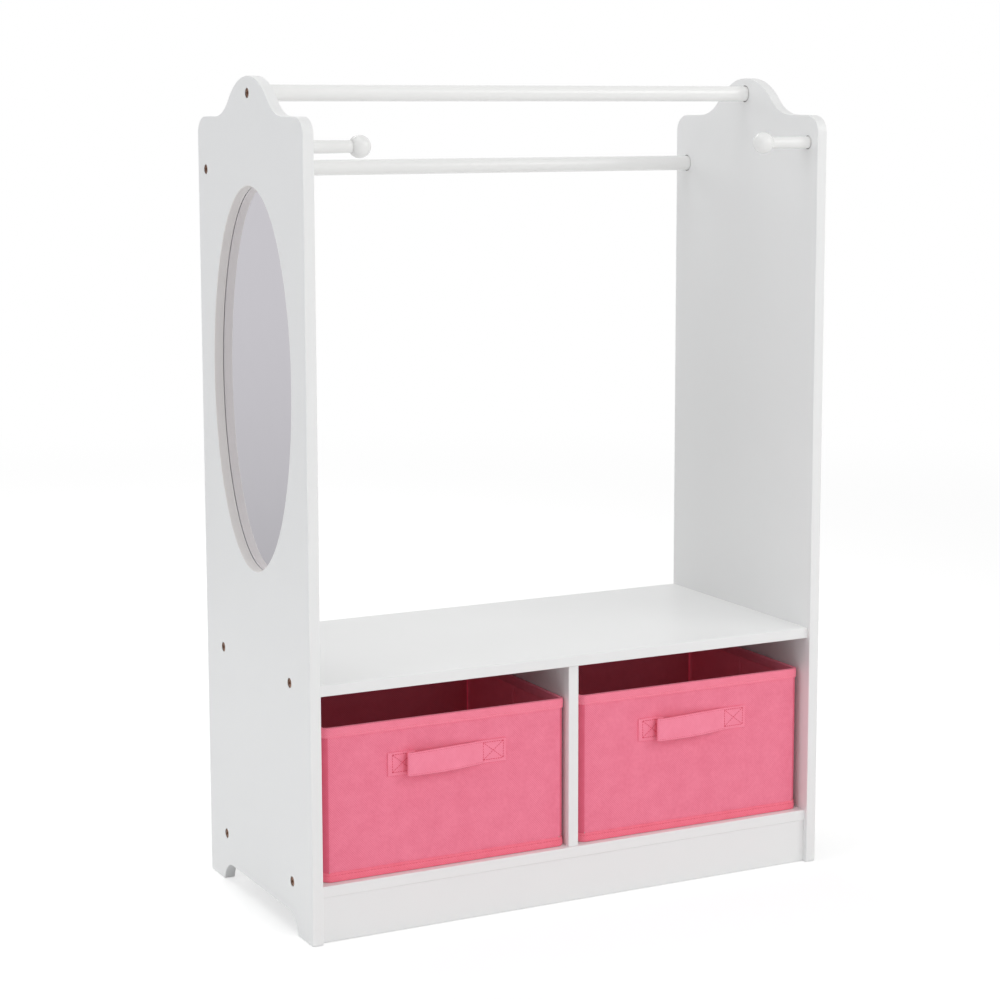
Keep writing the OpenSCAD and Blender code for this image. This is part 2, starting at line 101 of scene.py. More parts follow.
class Nodes:
    """A node tree. add() makes any node: its settings first, then the values or links of its sockets."""

    def __init__(self, tree):
        self.tree = tree
        tree.nodes.clear()

    def add(self, kind, settings=None, sockets=None, out=0):
        node = self.tree.nodes.new("ShaderNode" + kind)
        for name, value in (settings or {}).items():
            setattr(node, name, value)
        for key, value in (sockets or {}).items():
            if isinstance(value, Wire):
                self.tree.links.new(value.socket, node.inputs[key])
            else:
                node.inputs[key].default_value = value
        return Wire(self, node.outputs[out]) if len(node.outputs) else node

    def seen(self):
        """1 for the rays that show the background: the camera's, and those that a mirror sends on."""
        return (self.add("LightPath", out="Is Camera Ray") + self.add("LightPath", out="Is Glossy Ray")
                + self.add("LightPath", out="Is Transmission Ray"))


room_light = 0.46
room = bpy.data.worlds.new("white_room")
room.use_nodes = True
bpy.context.scene.world = room
nodes = Nodes(room.node_tree)
shown = nodes.seen()
nodes.add("OutputWorld", sockets={"Surface": nodes.add("Background", sockets={
    "Color": (1, 1, 1, 1), "Strength": shown + (1 - shown) * room_light})})


def backdrop(name, finish_name, points, faces):
    """An object of the studio with its material; returns it with the material's nodes."""
    mesh = bpy.data.meshes.new(name)
    mesh.from_pydata(points.tolist(), [], faces)
    thing = bpy.data.objects.new(name, mesh)
    bpy.context.scene.collection.objects.link(thing)
    material = bpy.data.materials.new(finish_name)
    material.use_nodes = True
    mesh.materials.append(material)
    return thing, Nodes(material.node_tree)


def full_turn(steps, way=1):
    """Evenly spaced angles of a full turn, anticlockwise, or clockwise with way -1."""
    return np.linspace(0, way * 2 * np.pi, steps, endpoint=False)


# The floor is a pale disc that keeps the unit's shadow and fades into the white of the room. It
# bounces more light than its own tone would, and glows a little where it is seen.
floor_radius, floor_z, fade_start, fade_end = 9.0, -0.2 * mm, 1.2, 4.5
floor_tone, floor_bounce, floor_glow = 0.62, 0.88, 0.53
turn = full_turn(96)
rim = np.stack([floor_radius * np.cos(turn), floor_radius * np.sin(turn), 0 * turn + floor_z], 1)
floor, nodes = backdrop("floor", "pale_floor", rim, [list(range(len(turn)))])
shown = nodes.seen()
away = nodes.add("VectorMath", {"operation": "LENGTH"},
                 {0: nodes.add("TexCoord", out="Object")}, out="Value")
fade = nodes.add("MapRange", {"interpolation_type": "SMOOTHSTEP"},
                 {"Value": away, "From Min": fade_start, "From Max": fade_end})
near = nodes.add("AddShader", sockets={
    0: nodes.add("BsdfDiffuse", sockets={"Color": nodes.add("Mix", {"data_type": "RGBA"}, {
        0: shown, 6: (*[floor_bounce] * 3, 1), 7: (*[floor_tone] * 3, 1)}, out=2)}),
    1: nodes.add("Emission", sockets={"Color": (1, 1, 1, 1), "Strength": shown * floor_glow})})
far = nodes.add("Emission", sockets={"Color": (1, 1, 1, 1),
                                     "Strength": shown + (1 - shown) * room_light})
nodes.add("OutputMaterial", sockets={"Surface": nodes.add("MixShader", sockets={
    0: fade, 1: near, 2: far})})

# The screen is a little over half of a round wall that only reflections meet, darker near its foot.
screen_radius, screen_height, dark_below = 2.2, 2.6, 0.95
screen_tone, screen_fall = 0.619, 0.161
turn = np.radians(np.linspace(75, 285, 60))
foot = np.stack([screen_radius * np.cos(turn), screen_radius * np.sin(turn), 0 * turn + mm], 1)
count = len(turn)
screen, nodes = backdrop("grey_screen", "grey_screen", np.concatenate([foot, foot + [0, 0, screen_height]]),
                         [[i, i + 1, i + 1 + count, i + count] for i in range(count - 1)])
height = nodes.add("SeparateXYZ", sockets={0: nodes.add("TexCoord", out="Object")}, out="Z")
fall = (1 - height * (1 / dark_below)).at_least(0.0) ** 2.5
tone = screen_tone - fall * screen_fall
nodes.add("OutputMaterial", sockets={"Surface": nodes.add("MixShader", sockets={
    0: nodes.add("LightPath", out="Is Glossy Ray"), 1: nodes.add("BsdfTransparent"),
    2: nodes.add("Emission", sockets={"Color": (1.0, 0.985, 1.02, 1), "Strength": tone})})})

# Six square area lamps, each turned to a point that high over the unit's foot.
for name, place, aim_height, size, watts, colour in (
        ("ceiling", (-0.6, -0.1, 3.3), 0.4, 1.2, 9, (1.0, 1.0, 0.99)),
        ("front", (0.3, -2.6, 3.0), 0.4, 1.8, 5, (1.0, 1.0, 0.99)),
        ("right", (2.3, -2.6, 2.3), 0.5, 1.8, 26, (1.0, 0.995, 0.985)),
        ("left", (-3.2, -0.3, 1.65), 0.5, 2.0, 24, (0.955, 0.98, 1.0)),
        ("low", (0.3, -3.6, 1.0), 0.5, 1.8, 24, (0.99, 1.0, 0.99)),
        ("rear", (-0.3, 2.8, 2.4), 0.5, 2.0, 37, (1.0, 1.0, 0.99))):
    lamp = bpy.data.lights.new(name + "_softbox", "AREA")
    lamp.size, lamp.energy, lamp.color = size, watts, colour
    holder = bpy.data.objects.new(name + "_softbox", lamp)
    holder.location = place
    aim = Vector((0, 0, aim_height)) - Vector(place)
    holder.rotation_euler = aim.to_track_quat("-Z", "Y").to_euler()
    bpy.context.scene.collection.objects.link(holder)


# ---- Painted boards ----
# The panels, shelves, divider and plinth are 14 mm fibreboard, cut, eased with a small quarter round
# on every edge that shows, drilled for the bolts and sockets, and sprayed with satin white paint.

def finish(name, colour, rough, metal=0.0):
    """A material with one Principled shader; returns it with its nodes, its shader and its place."""
    material = bpy.data.materials.new(name)
    material.use_nodes = True
    nodes = Nodes(material.node_tree)
    shader = nodes.add("BsdfPrincipled", sockets={"Base Color": (*colour, 1), "Roughness": rough,
                                                  "Metallic": metal})
    nodes.add("OutputMaterial", sockets={"Surface": shader})
    return material, nodes, shader.socket.node, nodes.add("TexCoord", out="Object")


def link(nodes, shader, **sockets):
    """Feeds the shader's sockets, named with _ for a space."""
    for name, wire in sockets.items():
        nodes.tree.links.new(wire.socket, shader.inputs[name.replace("_", " ")])


def noise(nodes, place, scale, detail=2.0):
    return nodes.add("TexNoise", sockets={"Vector": place, "Scale": scale, "Detail": detail})


def blended(nodes, share, first, second):
    """The first colour where share is 0 and the second where it is 1."""
    return nodes.add("Mix", {"data_type": "RGBA"}, {0: share, 6: (*first, 1), 7: (*second, 1)}, out=2)


def bumped(nodes, height, depth):
    """A bump of that depth in metres where height goes from 0 to 1."""
    return nodes.add("Bump", sockets={"Height": height, "Distance": depth, "Strength": 1.0})


def painted(name, colour, rough, stretch=(1, 1, 1)):
    """Sprayed satin paint: the orange peel of the spray, a fine tooth, and faint clouds in its tone."""
    material, nodes, shader, place = finish(name, colour, rough)
    place = nodes.add("Mapping", sockets={"Vector": place, "Scale": stretch})
    peel, tooth = noise(nodes, place, 330), noise(nodes, place, 1900, 3)
    clouds = noise(nodes, place, 7, 3)
    dull = tuple(c * s for c, s in zip(colour, (0.972, 0.974, 0.976)))
    link(nodes, shader, Base_Color=blended(nodes, clouds * 0.8 + tooth * 0.2, colour, dull),
         Roughness=tooth * 0.10 + clouds * 0.08 + (rough - 0.09),
         Normal=bumped(nodes, peel * 0.75 + tooth * 0.25, 0.045 * mm))
    return material


board_paint = painted("white_board_paint", (0.866, 0.868, 0.868), 0.42)


def speckled(name, light, dark, rough, spread, scale, detail, depth, metal=0.0, stretch=(1, 1, 1)):
    """A fine speckle: light where the noise is 0, dark and rougher by spread where it is 1."""
    material, nodes, shader, place = finish(name, light, rough, metal)
    place = nodes.add("Mapping", sockets={"Vector": place, "Scale": stretch})
    grain = noise(nodes, place, scale, detail)
    link(nodes, shader, Base_Color=blended(nodes, grain, light, dark),
         Roughness=grain * spread + rough, Normal=bumped(nodes, grain, depth))
    return material


def unit(vectors):
    return vectors / np.linalg.norm(vectors, axis=1, keepdims=True)


def inset(outline, amount):
    """Moves each edge of a closed outline by its amount towards the material on its left, and
    meets the edges again in mitred corners."""
    along = unit(np.roll(outline, -1, 0) - outline)
    out = np.stack([along[:, 1], -along[:, 0]], 1)
    last = np.roll(out, 1, 0)
    amount = np.broadcast_to(amount, len(outline)).astype(float)
    here, before = amount[:, None], np.roll(amount, 1)[:, None]
    dot = (out * last).sum(1, keepdims=True)
    straight = dot > 0.95
    spare = np.where(straight, 1, 1 - dot ** 2)
    mitre = (here * (out - dot * last) + before * (last - dot * out)) / spare
    return outline - np.where(straight, (here + before) / 2 * (out + last) / (1 + dot), mitre)


def quarter(lo, ease, sign=1, steps=4):
    """A quarter round from a face at lo into the board: (inset, place) pairs, sign +1 going up."""
    turn = np.linspace(0, np.pi / 2, steps + 1)
    return list(zip(ease * (1 - np.sin(turn)), lo + sign * ease * (1 - np.cos(turn))))


def circle(centre, radius, steps=32):
    """A hole's round outline, clockwise, so that the material lies on its left."""
    turn = full_turn(steps, -1)
    return np.array(centre) + radius * np.stack([np.cos(turn), np.sin(turn)], 1)


def arc(centre, radius, start, end, steps):
    """Points on an arc, from start to end in degrees."""
    turn = np.radians(np.linspace(start, end, steps + 1))
    return np.array(centre) + radius * np.stack([np.cos(turn), np.sin(turn)], 1)


def eased(apex, before, after, steps):
    """A corner rounded from one point before it to one after it: a quarter of the ellipse, skewed
    to the corner's angle, that touches both edges there."""
    turn = np.linspace(0, np.pi / 2, steps + 1)[:, None]
    middle = before + after - apex
    return middle + np.cos(turn) * (before - middle) + np.sin(turn) * (after - middle)


def band(rows, count, first=0, closed=True):
    """The quads of a grid of rows, each of count points, whose rows close on themselves."""
    across = np.arange(count if closed else count - 1)
    a = (np.arange(rows - 1)[:, None] * count + across + first)
    b = (np.arange(rows - 1)[:, None] * count + (across + 1) % count + first)
    return np.stack([a, b, b + count, a + count], -1).reshape(-1, 4).tolist()


def piece(name, points, faces, material, uv=None, crease=32, solid=True, even=True):
    """A finished object from points and faces: doubles merged, a closed solid's faces turned
    outwards, and smooth up to the crease angle."""
    mesh = bpy.data.meshes.new(name)
    mesh.from_pydata(np.asarray(points, float).tolist(), [], faces)
    if uv is not None:
        corners = np.empty(len(mesh.loops), int)
        mesh.loops.foreach_get("vertex_index", corners)
        mesh.uv_layers.new(name="cloth").data.foreach_set("uv", np.asarray(uv)[corners].ravel())
    shape = bmesh.new()
    shape.from_mesh(mesh)
    bmesh.ops.remove_doubles(shape, verts=shape.verts, dist=1e-6)
    if solid:
        bmesh.ops.recalc_face_normals(shape, faces=shape.faces)
    shape.to_mesh(mesh)
    shape.free()
    mesh.shade_smooth()
    mesh.set_sharp_from_angle(angle=np.radians(crease))
    mesh.materials.append(material)
    thing = bpy.data.objects.new(name, mesh)
    bpy.context.scene.collection.objects.link(thing)
    if even:
        modifier = thing.modifiers.new("even_faces", "WEIGHTED_NORMAL")
        modifier.keep_sharp = True
    return thing


def fit(thing, body, slot, *cad_nodes):
    """Hangs a piece on its body and hides the CAD nodes that it stands for. The slot is not used."""
    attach(thing, body)
    if cad_nodes:
        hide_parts(*cad_nodes)


def plate(outline, rows, holes=(), turned=False):
    """A board: its outline carried along rows of (inset, place), closed by two flat faces.
    A hole is (outline, rows, faces it opens in). turned lays the outline in Y and Z."""
    points, faces = [], []
    ends = {0: [], 1: []}

    def carry(outline, rows):
        first = sum(len(p) for p in points)
        points.extend(np.c_[inset(outline, by), np.full(len(outline), at)] for by, at in rows)
        faces.extend(band(len(rows), len(outline), first))
        return first, first + (len(rows) - 1) * len(outline), len(outline)

    def close(rings):
        flat = np.concatenate(points)
        index = np.concatenate([np.arange(first, first + count) for first, count in rings])
        loops = [[Vector((*flat[i, :2], 0)) for i in range(first, first + count)]
                 for first, count in rings]
        faces.extend([[int(index[i]) for i in triangle] for triangle in tessellate_polygon(loops)])

    first, last, count = carry(outline, rows)
    ends[0].append((first, count))
    ends[1].append((last, count))
    for hole, hole_rows, opens in holes:
        first, last, count = carry(hole, hole_rows)
        ends[opens[0]].append((first, count))
        if len(opens) > 1:
            ends[opens[1]].append((last, count))
        else:
            close([(last, count)])
    close(ends[0])
    close(ends[1])
    points = np.concatenate(points)
    return (points[:, [2, 0, 1]] if turned else points), faces


# The two side panels are mirror images, apart from the window in the left one.
panel_low, panel_high = (np.array(v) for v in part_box("right_side_panel"))
inner, outer = panel_low[0], panel_high[0]
front, rear, top = panel_low[1], panel_high[1], panel_high[2]
edge_round, drill_round = 1.0 * mm, 0.3 * mm
foot_width, foot_corner, arch_height, arch_end = 47 * mm, 3.5 * mm, 25 * mm, 30 * mm
foot_inner_corner = 3.0 * mm
crown_rise, crown_radius, crown_hollow = 48 * mm, 85 * mm, 64 * mm
shoulder_fall, corner_along, corner_down = np.radians(0.7), 24 * mm, 21 * mm

shoulder = top - crown_rise
rise = crown_radius - crown_rise + crown_hollow
hollow_y = np.sqrt((crown_radius + crown_hollow) ** 2 - rise ** 2)
slope = np.degrees(np.arctan2(rise, hollow_y))
falling = np.array([np.cos(shoulder_fall), -np.sin(shoulder_fall)])
hollow_foot = np.array([hollow_y, shoulder + crown_hollow]) + crown_hollow * falling[::-1] * [1, -1]
corner = hollow_foot + falling * (rear - hollow_foot[0]) / falling[0]
arch_centre_z = arch_height - arch_end
arch_y = rear - foot_width - np.sqrt(arch_end ** 2 - arch_centre_z ** 2)
arch_foot = np.degrees(np.arcsin((foot_inner_corner - arch_centre_z) / arch_end))
foot_y = arch_y + arch_end * np.cos(np.radians(arch_foot)) + foot_inner_corner
half_outline = np.concatenate([
    arc((arch_y, arch_centre_z), arch_end, 90, arch_foot, 14),
    arc((foot_y, foot_inner_corner), foot_inner_corner, 180, 270, 5)[1:],
    arc((rear - foot_corner, foot_corner), foot_corner, 270, 360, 6),
    eased(corner, corner - [0, corner_down], corner - corner_along * falling, 14),
    arc((hollow_y, shoulder + crown_hollow), crown_hollow, 270 - np.degrees(shoulder_fall),
        180 + slope, 16),
    arc((0, top - crown_radius), crown_radius, slope, 90, 24)[1:]])
panel_outline = np.concatenate([half_outline, half_outline[-2::-1] * [-1, 1]])

top_rod_down, rear_rod_in, rear_rod_down = 20.5 * mm, 26 * mm, 66 * mm
peg_in, peg_down, bolt_in = 23 * mm, 35 * mm, 57.5 * mm
rod_places = [(0.0, top - top_rod_down), (rear - rear_rod_in, shoulder - rear_rod_down)]
peg_place = (front + peg_in, shoulder - peg_down)
shelf_boxes = [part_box("bottom_shelf"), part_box("top_shelf")]
shelf_front = shelf_boxes[0][0][1]
bolt_places = [(y, (low[2] + high[2]) / 2) for low, high in shelf_boxes
               for y in (shelf_front + bolt_in, rear - bolt_in)]
head_recess, rod_socket, peg_socket = 4 * mm, 4 * mm, 8 * mm
rod_radius, peg_radius, recess_radius = 10 * mm, 8 * mm, 6.2 * mm
rod_play, peg_play = 0.8 * mm, 0.6 * mm

panel_rows = quarter(inner, edge_round) + quarter(outer, edge_round, -1)[::-1]
drilled = []
for place, radius, depth in ([(p, rod_radius + rod_play, rod_socket) for p in rod_places]
                             + [(peg_place, peg_radius + peg_play, peg_socket)]):
    drilled.append((circle(place, radius, 40), quarter(inner, drill_round) + [(0, inner + depth)], [0]))
for place in rod_places + bolt_places:
    drilled.append((circle(place, recess_radius), quarter(outer, drill_round, -1)
                    + [(0, outer - head_recess)], [1]))

# The window is cut through with an eased outer edge, and rebated behind for the mirror sheet. A fine
# crevice stays open between its wall and the sheet.
mirror_low, mirror_high = (np.array(v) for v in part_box("mirror_sheet"))
mirror_centre = (mirror_low + mirror_high)[1:] / 2
sheet_lap, rebate_play = 10 * mm, 0.3 * mm
crevice, crevice_depth = 0.5 * mm, 3 * mm
window_axes = (mirror_high - mirror_low)[1:] / 2 - sheet_lap
rebate = -mirror_low[0]
turn = full_turn(240, -1)
window = mirror_centre + window_axes * np.stack([np.cos(turn), np.sin(turn)], 1)
window_round = 0.9 * mm
window_cut = (window, quarter(outer, window_round, -1)
              + [(0, rebate + crevice), (crevice_depth, rebate + crevice), (crevice_depth, rebate),
                 (sheet_lap + rebate_play, rebate), (sheet_lap + rebate_play, inner)], [1, 0])

# The routed wall of the window is painted a darker, warmer white. The walls of the sockets for the rods
# and pegs are near black, darker than bare board: painted shade in the crevices round their ends.
window_wall_paint = painted("darker_window_wall_paint", (0.785, 0.755, 0.735), 0.5)
socket_shade = speckled("socket_painted_shade", (0.10, 0.08, 0.06), (0.06, 0.048, 0.036), 0.85, 0.1, 1100, 4,
                      0.1 * mm)


def cabinet_board(name, points, faces):
    """A painted board of the cabinet in place of its CAD node."""
    thing = piece(name + "_board", points, faces, board_paint)
    fit(thing, "cabinet", "painted_board", name)
    return thing


socket_margin = 1 * mm
for side, name, holes in ((1, "right_side_panel", drilled), (-1, "left_side_panel",
                                                             drilled + [window_cut])):
    points, faces = plate(panel_outline, panel_rows, holes, turned=True)
    panel = cabinet_board(name, points * [side, 1, 1], faces)
    # The window's wall takes the darker, warmer white, and the socket walls take the near-black painted
    # shade.
    panel.data.materials.append(window_wall_paint)
    panel.data.materials.append(socket_shade)
    middles = np.empty(3 * len(panel.data.polygons))
    panel.data.polygons.foreach_get("center", middles)
    deep, middles = np.abs(middles[0::3]), middles.reshape(-1, 3)[:, 1:]
    index = np.zeros(len(middles), int)
    if side < 0:
        from_centre = np.linalg.norm((middles - mirror_centre) / (window_axes + window_round), axis=1)
        index[(from_centre < 1) & (deep > rebate)] = 1
    # The faces of the socket walls take the near-black painted shade.
    for spot, radius in zip(rod_places + [peg_place], (rod_radius, rod_radius, peg_radius)):
        near = np.linalg.norm(middles - spot, axis=1) < radius + socket_margin
        index[near & (deep > inner + drill_round) & (deep < inner + peg_socket + 1e-5)] = 2
    panel.data.polygons.foreach_set("material_index", index)


def rounded(low, high, corners, steps=5):
    """A rectangle's outline, anticlockwise from its lower left corner, with a radius for each corner."""
    spots = [((low[0], low[1]), (1, 1), 180), ((high[0], low[1]), (-1, 1), 270),
             ((high[0], high[1]), (-1, -1), 0), ((low[0], high[1]), (1, -1), 90)]
    return np.concatenate([arc(np.array(spot) + np.array(way) * r, r, start, start + 90, steps)
                           if r else np.array([spot]) for (spot, way, start), r in zip(spots, corners)])


# The shelves' long edges are eased, and their ends butt square against the panels. From below, each is
# bored for its barrel nuts; the lower one is countersunk for the divider's screws as well.
shelf_round = 1.3 * mm
barrel_x, barrel_radius, barrel_depth = inner - 30 * mm, 4.55 * mm, 11.8 * mm
screw_ys = (-75.5 * mm, 81.5 * mm)
sink_radius, sink_taper, sink_depth = 4.1 * mm, 2 * mm, 2.5 * mm
for name, (low, high) in zip(("bottom_shelf", "top_shelf"), shelf_boxes):
    outline = np.array([[low[0], low[1]], [high[0], low[1]], [high[0], high[1]], [low[0], high[1]]])
    long_edges = np.array([1.0, 0.0, 1.0, 0.0])
    rows = [(by * long_edges, at) for by, at in
            quarter(low[2], shelf_round) + quarter(high[2], shelf_round, -1)[::-1]]
    bores = [(circle((x, y), barrel_radius, 28), [(0, low[2]), (0, low[2] + barrel_depth)], [0])
             for x in (-barrel_x, barrel_x) for y, _ in bolt_places[:2]]
    if name == "bottom_shelf":
        bores += [(circle((0, y), sink_radius, 28),
                   [(0, low[2]), (-sink_taper, low[2] + sink_depth)], [0]) for y in screw_ys]
    points, faces = plate(outline, rows, bores)
    cabinet_board(name, points, faces)

# The divider's front edge is eased; its ends butt against the shelves.
low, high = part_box("centre_divider")
points, faces = plate(rounded(low[:2], high[:2], [1.2 * mm, 1.2 * mm, 0, 0]),
                      [(0, low[2]), (0, high[2])])
cabinet_board("centre_divider", points, faces)

# The plinth is glued under the bottom shelf; its eased upper edge leaves the fine line of the joint.
low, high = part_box("front_plinth")
points, faces = plate(rounded(low[1:], high[1:], [1.0 * mm, 0.5 * mm, 0.5 * mm, 0.5 * mm]),
                      [(0, low[0]), (0, high[0])], turned=True)
cabinet_board("front_plinth", points, faces)


# ---- Hardboard back and mirror backing ----
# Thin hardboard with a smooth white face: the back board stands in grooves of the case, and the oval
# backing board holds the mirror sheet in its rebate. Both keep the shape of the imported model.

def dress(cad_node, material):
    """Gives a CAD node that keeps its shape its finish."""
    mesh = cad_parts[cad_node].data
    mesh.materials.clear()
    mesh.materials.append(material)


hardboard, nodes, shader, place = finish("white_hardboard", (0.82, 0.82, 0.81), 0.5)
fibres = noise(nodes, nodes.add("Mapping", sockets={"Vector": place, "Scale": (1, 1, 0.25)}), 700, 4)
mesh_marks = noise(nodes, place, 60, 3)
link(nodes, shader, Base_Color=blended(nodes, fibres * mesh_marks, (0.84, 0.84, 0.83),
                                       (0.76, 0.755, 0.74)),
     Roughness=fibres * 0.2 + 0.42, Normal=bumped(nodes, fibres, 0.05 * mm))
dress("back_board", hardboard)
dress("mirror_backing_board", hardboard)


# ---- Rods, pegs and knobs ----
# Turned dowels painted a slightly warmer white: two 20 mm rods that stand in sockets in the panels,
# and two 16 mm pegs, each with a tenon glued into a round knob.

dowel_paint = painted("white_dowel_paint", (0.91, 0.908, 0.90), 0.2, stretch=(0.12, 1, 1))
knob_paint = painted("white_knob_paint", (0.885, 0.883, 0.875), 0.2)


def turned(profile, place, steps=48):
    """A profile of (along X, radius) pairs turned about an axis at place in Y and Z."""
    along, radius = (np.array(column)[:, None] for column in zip(*profile))
    turn = full_turn(steps)
    points = np.stack([along + 0 * turn, place[0] + radius * np.cos(turn),
                       place[1] + radius * np.sin(turn)], -1)
    return points.reshape(-1, 3), band(len(profile), steps)


def softened(along, radius, ease, sign, steps=4):
    """The rounded arris of a turned end: along is the end face, sign +1 if the stock lies above it."""
    turn = np.linspace(0, np.pi / 2, steps + 1)
    return [(along + sign * ease * (1 - np.sin(t)), radius - ease * (1 - np.cos(t))) for t in turn]


insert_radius, insert_depth = 5.05 * mm, 14 * mm
rod_ease, peg_ease, tenon_ease = 0.8 * mm, 0.7 * mm, 0.5 * mm
rod_end = inner + rod_socket
rod_half = ([(rod_end - insert_depth, 0), (rod_end - insert_depth, insert_radius),
             (rod_end, insert_radius)] + softened(rod_end, rod_radius, rod_ease, -1)[::-1])
rod_profile = [(-x, r) for x, r in rod_half] + rod_half[::-1]
for name, place in zip(("top_rod", "rear_rod"), rod_places):
    points, faces = turned(rod_profile, place)
    fit(piece(name + "_dowel", points, faces, dowel_paint), "cabinet", "painted_dowel", name)

# The knob has a flat seat, a little wider than the peg, and a blind hole for the tenon.
knob_reach, knob_radius, tenon_radius = 67 * mm, 13.5 * mm, 4.5 * mm
flat_radius, bevel_turn, seat_play, tenon_play = peg_radius + 0.5 * mm, 0.05, 0.1 * mm, 0.05 * mm
knob_x = inner - knob_reach
knob_seat = np.sqrt(knob_radius ** 2 - flat_radius ** 2)
seat_x = knob_x + knob_seat
tenon_x = seat_x - 0.85 * knob_seat
peg_profile = ([(tenon_x, 0)] + softened(tenon_x, tenon_radius, tenon_ease, 1)
               + [(seat_x, tenon_radius)] + softened(seat_x, peg_radius, peg_ease, 1)
               + [(inner + peg_socket, peg_radius), (inner + peg_socket, 0)])
ball = np.linspace(np.pi, np.arctan2(flat_radius, knob_seat) + bevel_turn, 30)
knob_profile = ([(knob_x + knob_radius * np.cos(t), knob_radius * np.sin(t)) for t in ball]
                + [(seat_x, peg_radius + seat_play), (seat_x, tenon_radius + tenon_play),
                   (tenon_x, tenon_radius + tenon_play), (tenon_x, 0)])
for side, name in ((1, "right_peg"), (-1, "left_peg")):
    for part, profile in (("", peg_profile), ("_knob", knob_profile)):
        points, faces = turned(profile, peg_place)
        fit(piece(name + part + "_turned", points * [side, 1, 1], faces, knob_paint), "cabinet",
            "painted_dowel", name + part)


# ---- Mirror ----
# A 2 mm silvered acrylic sheet. It waves a little between its screws, as such sheets do, and carries a
# few faint smears.

mirror_finish, nodes, shader, place = finish("silvered_sheet", (0.93, 0.92, 0.945), 0.03, 1.0)
waves, smears = noise(nodes, place, 6, 1), noise(nodes, place, 26, 4)
link(nodes, shader, Base_Color=blended(nodes, smears, (0.935, 0.925, 0.95), (0.915, 0.905, 0.93)),
     Roughness=smears * 0.03 + 0.015, Normal=bumped(nodes, waves, 0.12 * mm))
dress("mirror_sheet", mirror_finish)


# ---- Bolts, nuts, dowels and screws ----
# Flat-headed connector bolts with hexagon sockets, finished in antique bronze, sit in recesses of the
# panels. Inside are zinc-plated nuts and beech dowels; pan-head screws hold the mirror's backing.

bronze, nodes, shader, place = finish("antique_bronze", (0.22, 0.12, 0.08), 0.42, 0.9)
worn = noise(nodes, place, 900, 4)
link(nodes, shader, Base_Color=blended(nodes, worn * worn * 1.6, (0.15, 0.075, 0.05),
                                       (0.42, 0.24, 0.15)),
     Roughness=worn * 0.25 + 0.3, Normal=bumped(nodes, worn, 0.02 * mm))

head_radius, head_depth, hex_half, shank_radius = 6 * mm, 3.5 * mm, 2.3 * mm, 3 * mm
head_ease, hex_ease = 0.6 * mm, 0.2 * mm
seat = outer - head_recess
bolt_steps = 48
bolt_turn = full_turn(bolt_steps)
hexagon = hex_half * np.cos(np.pi / 6) / np.cos((bolt_turn + np.pi / 6) % (np.pi / 3) - np.pi / 6)


def copies(one, faces, spots):
    """The points and faces of one thing, repeated at every spot."""
    points = (one[None] + spots[:, None]).reshape(-1, 3)
    return points, [[i + n * len(one) for i in f] for n in range(len(spots)) for f in faces]


def bolt_mesh(places, length):
    """Bolts in both panels: rings of (X, radius) from the shank's end over the head, down into
    the hexagon socket, where the radius follows the hexagon."""
    face = seat + head_depth
    rings = [(seat - length, 0.0), (seat - length, shank_radius), (seat, shank_radius),
             (seat, head_radius)] + softened(face, head_radius, head_ease, -1)[::-1]
    rings = [(x, np.full(bolt_steps, r)) for x, r in rings]
    rings += [(face, hexagon + hex_ease), (face - hex_ease, hexagon),
              (face - head_depth / 2, hexagon), (face - head_depth / 2, hexagon * 0)]
    x = np.array([[r[0]] * bolt_steps for r in rings])
    radius = np.array([r[1] for r in rings])
    one = np.stack([x, radius * np.cos(bolt_turn), radius * np.sin(bolt_turn)], -1).reshape(-1, 3)
    spots = np.array([(0, y, z) for y, z in places])
    half, faces = copies(one, band(len(rings), bolt_steps), spots)
    return (np.concatenate([half, half * [-1, 1, 1]]),
            faces + [[i + len(half) for i in f] for f in faces])


for name, places, length in (("rod_bolts", rod_places, 17 * mm), ("shelf_bolts", bolt_places, 49 * mm)):
    points, faces = bolt_mesh(places, length)
    fit(piece(name + "_bronze", points, faces, bronze), "cabinet", "bronze_steel", name)

zinc = speckled("zinc_plate", (0.60, 0.60, 0.61), (0.74, 0.74, 0.73), 0.25, 0.2, 1200, 3, 0.01 * mm,
                metal=1.0)
beech = speckled("beech_dowel", (0.70, 0.52, 0.35), (0.56, 0.37, 0.22), 0.5, 0.2, 900, 4, 0.05 * mm,
                 stretch=(0.2, 1, 0.2))
for name in ("rod_insert_nuts", "barrel_nuts", "divider_screws"):
    dress(name, zinc)
for name in ("shelf_dowels", "divider_dowels", "plinth_dowels"):
    dress(name, beech)


